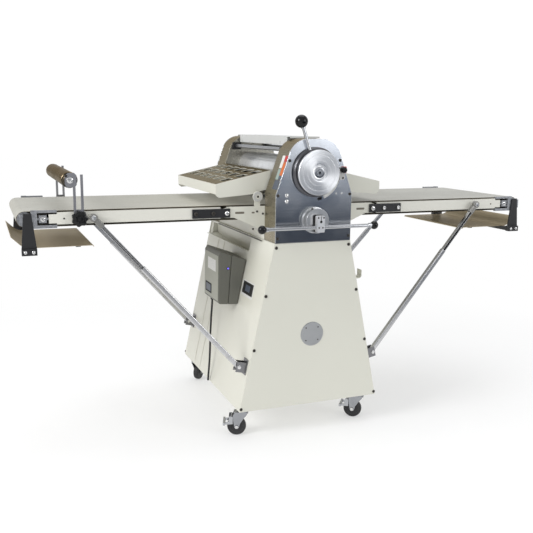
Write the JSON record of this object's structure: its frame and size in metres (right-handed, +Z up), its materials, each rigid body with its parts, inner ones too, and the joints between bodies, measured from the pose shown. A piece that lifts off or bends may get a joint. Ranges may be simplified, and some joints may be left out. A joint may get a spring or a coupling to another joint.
{
  "type": "dough sheeter",
  "caption": "Floor-standing reversible dough sheeter: sloped base on casters, roller head with thickness dial and lever, two folding belt tables on telescopic struts.",
  "frame": {"origin": "on the floor at the middle of the base, midway between the four caster swivels", "axes": "+X along the belt tables to the right of a person at the lever side, +Y to the back, +Z up"},
  "size_m": [2.17, 0.865, 1.242],
  "materials": {
    "cream_paint": "satin powder coat",
    "polished_steel": "polished",
    "brushed_plate": "fine brushed",
    "steel": "satin",
    "stainless": "satin",
    "chrome": "polished",
    "belt": "coated weave",
    "grey_paint": "hammered",
    "grey_plastic": "fine texture",
    "dark_screw": "dull",
    "turned_aluminium": "turned",
    "black_plastic": "glossy",
    "cast_grey": "painted cast",
    "black_paint": "satin",
    "wheel": "matt"
  },
  "bodies": {
    "frame": {"base_frame": "cream_paint", "end_panels": "cream_paint", "side_panels": "cream_paint", "head_housings": "polished_steel", "head_plates": "brushed_plate", "top_cover": "cream_paint", "tie_rods": "steel", "lower_scrapers": "stainless", "direction_hub": "chrome", "table_brackets": "cream_paint", "inner_belts": "belt", "strut_brackets": "stainless", "motor": "grey_paint", "control_box": "grey_plastic", "screw_heads": "dark_screw"},
    "lower_roller": {"lower_roller": "chrome"},
    "lift_carriage": {"lift_carriage": "steel"},
    "thickness_control": {"thickness_dial": "turned_aluminium", "thickness_lever": "chrome"},
    "upper_roller": {"upper_roller": "chrome"},
    "direction_lever": {"direction_lever": "steel"},
    "limit_stop": {"limit_stop": "black_plastic"},
    "left_guard": {"left_guard": "cream_paint"},
    "left_drive_roller": {"left_drive_roller": "steel"},
    "left_table": {"left_table_frame": "cream_paint", "left_belt": "belt", "left_tension_forks": "cast_grey", "left_brackets": "black_paint", "left_catch_pan": "polished_steel", "pin_holders": "stainless"},
    "left_end_roller": {"left_end_roller": "steel"},
    "right_guard": {"right_guard": "cream_paint"},
    "right_drive_roller": {"right_drive_roller": "steel"},
    "right_table": {"right_table_frame": "cream_paint", "right_belt": "belt", "right_tension_forks": "cast_grey", "right_brackets": "black_paint", "right_catch_pan": "polished_steel"},
    "right_end_roller": {"right_end_roller": "steel"},
    "front_star_knob": {"front_star_knob": "black_plastic"},
    "rear_star_knob": {"rear_star_knob": "black_plastic"},
    "rolling_pin": {"rolling_pin": "polished_steel"},
    "left_front_strut_tube": {"left_front_strut_tube": "chrome"},
    "left_front_strut_rod": {"left_front_strut_rod": "stainless"},
    "left_front_caster_fork": {"left_front_caster_fork": "chrome"},
    "left_front_caster_wheel": {"left_front_caster_wheel": "wheel"},
    "left_front_brake_pedal": {"left_front_brake_pedal": "chrome"},
    "left_rear_strut_tube": {"left_rear_strut_tube": "chrome"},
    "left_rear_strut_rod": {"left_rear_strut_rod": "stainless"},
    "left_rear_caster_fork": {"left_rear_caster_fork": "chrome"},
    "left_rear_caster_wheel": {"left_rear_caster_wheel": "wheel"},
    "right_front_strut_tube": {"right_front_strut_tube": "chrome"},
    "right_front_strut_rod": {"right_front_strut_rod": "stainless"},
    "right_front_caster_fork": {"right_front_caster_fork": "chrome"},
    "right_front_caster_wheel": {"right_front_caster_wheel": "wheel"},
    "right_front_brake_pedal": {"right_front_brake_pedal": "chrome"},
    "right_rear_strut_tube": {"right_rear_strut_tube": "chrome"},
    "right_rear_strut_rod": {"right_rear_strut_rod": "stainless"},
    "right_rear_caster_fork": {"right_rear_caster_fork": "chrome"},
    "right_rear_caster_wheel": {"right_rear_caster_wheel": "wheel"}
  },
  "joints": [
    {"name": "lower_roller_spin", "type": "hinge", "parent": "frame", "child": "lower_roller", "pos_m": [0, 0, 0.862], "axis": [0, 1, 0], "continuous": true},
    {"name": "thickness_turn", "type": "hinge", "parent": "frame", "child": "thickness_control", "pos_m": [0, -0.408, 1.032], "axis": [0, 1, 0], "range_deg": [-40, 92]},
    {"name": "upper_roller_lift", "type": "slide", "parent": "frame", "child": "lift_carriage", "axis": [0, 0, 1], "range_m": [-0.0101, 0.0237]},
    {"name": "upper_roller_spin", "type": "hinge", "parent": "lift_carriage", "child": "upper_roller", "pos_m": [0, 0, 0.962], "axis": [0, 1, 0], "continuous": true},
    {"name": "direction_swing", "type": "hinge", "parent": "frame", "child": "direction_lever", "pos_m": [0, -0.449, 0.852], "axis": [0, 1, 0], "range_deg": [-15, 15]},
    {"name": "limit_stop_set", "type": "hinge", "parent": "frame", "child": "limit_stop", "pos_m": [0, -0.41, 1.032], "axis": [0, 1, 0], "range_deg": [0, 55]},
    {"name": "left_guard_lift", "type": "hinge", "parent": "frame", "child": "left_guard", "pos_m": [-0.188, 0, 0.935], "axis": [0, 1, 0], "range_deg": [0, 50]},
    {"name": "left_drive_roller_spin", "type": "hinge", "parent": "frame", "child": "left_drive_roller", "pos_m": [-0.082, 0, 0.874], "axis": [0, 1, 0], "continuous": true},
    {"name": "left_table_fold", "type": "hinge", "parent": "frame", "child": "left_table", "pos_m": [-0.313, 0, 0.876], "axis": [0, 1, 0], "range_deg": [0, 40]},
    {"name": "left_end_roller_spin", "type": "hinge", "parent": "left_table", "child": "left_end_roller", "pos_m": [-1.036, 0, 0.874], "axis": [0, 1, 0], "continuous": true},
    {"name": "right_guard_lift", "type": "hinge", "parent": "frame", "child": "right_guard", "pos_m": [0.188, 0, 0.935], "axis": [0, -1, 0], "range_deg": [0, 50]},
    {"name": "right_drive_roller_spin", "type": "hinge", "parent": "frame", "child": "right_drive_roller", "pos_m": [0.082, 0, 0.874], "axis": [0, 1, 0], "continuous": true},
    {"name": "right_table_fold", "type": "hinge", "parent": "frame", "child": "right_table", "pos_m": [0.313, 0, 0.876], "axis": [0, -1, 0], "range_deg": [0, 40]},
    {"name": "right_end_roller_spin", "type": "hinge", "parent": "right_table", "child": "right_end_roller", "pos_m": [1.036, 0, 0.874], "axis": [0, 1, 0], "continuous": true},
    {"name": "front_star_knob_turn", "type": "hinge", "parent": "left_table", "child": "front_star_knob", "pos_m": [-0.856, -0.305, 0.876], "axis": [0, 1, 0], "continuous": true},
    {"name": "rear_star_knob_turn", "type": "hinge", "parent": "left_table", "child": "rear_star_knob", "pos_m": [-0.856, 0.305, 0.876], "axis": [0, 1, 0], "continuous": true},
    {"name": "rolling_pin_spin", "type": "hinge", "parent": "left_table", "child": "rolling_pin", "pos_m": [-0.883, 0, 1.009], "axis": [0, 1, 0], "continuous": true},
    {"name": "left_front_strut_swing", "type": "hinge", "parent": "frame", "child": "left_front_strut_tube", "pos_m": [-0.29, -0.359, 0.293], "axis": [0.0707, 0.9972, -0.026], "range_deg": [0, 17.61]},
    {"name": "left_front_strut_extend", "type": "slide", "parent": "left_front_strut_tube", "child": "left_front_strut_rod", "axis": [-0.6615, 0.0664, 0.747], "range_m": [0, 0.2064]},
    {"name": "left_front_caster_swivel", "type": "hinge", "parent": "frame", "child": "left_front_caster_fork", "pos_m": [-0.258, -0.332, 0.106], "axis": [0, 0, 1], "continuous": true},
    {"name": "left_front_wheel_spin", "type": "hinge", "parent": "left_front_caster_fork", "child": "left_front_caster_wheel", "pos_m": [-0.28245, -0.32316, 0.0375], "axis": [-0.3401, -0.9404, 0], "continuous": true},
    {"name": "left_front_brake_press", "type": "hinge", "parent": "left_front_caster_fork", "child": "left_front_brake_pedal", "pos_m": [-0.30126, -0.31635, 0.078], "axis": [-0.3401, -0.9404, 0], "range_deg": [0, 12]},
    {"name": "left_rear_strut_swing", "type": "hinge", "parent": "frame", "child": "left_rear_strut_tube", "pos_m": [-0.29, 0.359, 0.293], "axis": [-0.0707, 0.9972, 0.026], "range_deg": [0, 17.61]},
    {"name": "left_rear_strut_extend", "type": "slide", "parent": "left_rear_strut_tube", "child": "left_rear_strut_rod", "axis": [-0.6615, -0.0664, 0.747], "range_m": [0, 0.2064]},
    {"name": "left_rear_caster_swivel", "type": "hinge", "parent": "frame", "child": "left_rear_caster_fork", "pos_m": [-0.258, 0.332, 0.106], "axis": [0, 0, 1], "continuous": true},
    {"name": "left_rear_wheel_spin", "type": "hinge", "parent": "left_rear_caster_fork", "child": "left_rear_caster_wheel", "pos_m": [-0.2411, 0.35176, 0.0375], "axis": [-0.76, 0.65, 0], "continuous": true},
    {"name": "right_front_strut_swing", "type": "hinge", "parent": "frame", "child": "right_front_strut_tube", "pos_m": [0.29, -0.359, 0.293], "axis": [0.0707, -0.9972, 0.026], "range_deg": [0, 17.61]},
    {"name": "right_front_strut_extend", "type": "slide", "parent": "right_front_strut_tube", "child": "right_front_strut_rod", "axis": [0.6615, 0.0664, 0.747], "range_m": [0, 0.2064]},
    {"name": "right_front_caster_swivel", "type": "hinge", "parent": "frame", "child": "right_front_caster_fork", "pos_m": [0.258, -0.332, 0.106], "axis": [0, 0, 1], "continuous": true},
    {"name": "right_front_wheel_spin", "type": "hinge", "parent": "right_front_caster_fork", "child": "right_front_caster_wheel", "pos_m": [0.2372, -0.3164, 0.0375], "axis": [-0.6, -0.8, 0], "continuous": true},
    {"name": "right_front_brake_press", "type": "hinge", "parent": "right_front_caster_fork", "child": "right_front_brake_pedal", "pos_m": [0.2212, -0.3044, 0.078], "axis": [-0.6, -0.8, 0], "range_deg": [0, 12]},
    {"name": "right_rear_strut_swing", "type": "hinge", "parent": "frame", "child": "right_rear_strut_tube", "pos_m": [0.29, 0.359, 0.293], "axis": [-0.0707, -0.9972, -0.026], "range_deg": [0, 17.61]},
    {"name": "right_rear_strut_extend", "type": "slide", "parent": "right_rear_strut_tube", "child": "right_rear_strut_rod", "axis": [0.6615, -0.0664, 0.747], "range_m": [0, 0.2064]},
    {"name": "right_rear_caster_swivel", "type": "hinge", "parent": "frame", "child": "right_rear_caster_fork", "pos_m": [0.258, 0.332, 0.106], "axis": [0, 0, 1], "continuous": true},
    {"name": "right_rear_wheel_spin", "type": "hinge", "parent": "right_rear_caster_fork", "child": "right_rear_caster_wheel", "pos_m": [0.2658, 0.3568, 0.0375], "axis": [-0.9539, 0.3, 0], "continuous": true}
  ],
  "couplings": [
    {"joint": "upper_roller_lift", "follows": "thickness_turn", "m_per_rad": 0.01432},
    {"joint": "upper_roller_spin", "follows": "lower_roller_spin", "ratio": -1},
    {"joint": "left_drive_roller_spin", "follows": "lower_roller_spin", "ratio": 1.7},
    {"joint": "left_end_roller_spin", "follows": "lower_roller_spin", "ratio": 1.7},
    {"joint": "right_drive_roller_spin", "follows": "lower_roller_spin", "ratio": 1.7},
    {"joint": "right_end_roller_spin", "follows": "lower_roller_spin", "ratio": 1.7},
    {"joint": "left_front_strut_swing", "follows": "left_table_fold", "ratio": 0.43909},
    {"joint": "left_front_strut_extend", "follows": "left_table_fold", "m_per_rad": 0.29507},
    {"joint": "left_rear_strut_swing", "follows": "left_table_fold", "ratio": 0.43909},
    {"joint": "left_rear_strut_extend", "follows": "left_table_fold", "m_per_rad": 0.29507},
    {"joint": "right_front_strut_swing", "follows": "right_table_fold", "ratio": 0.43909},
    {"joint": "right_front_strut_extend", "follows": "right_table_fold", "m_per_rad": 0.29507},
    {"joint": "right_rear_strut_swing", "follows": "right_table_fold", "ratio": 0.43909},
    {"joint": "right_rear_strut_extend", "follows": "right_table_fold", "m_per_rad": 0.29507}
  ]
}
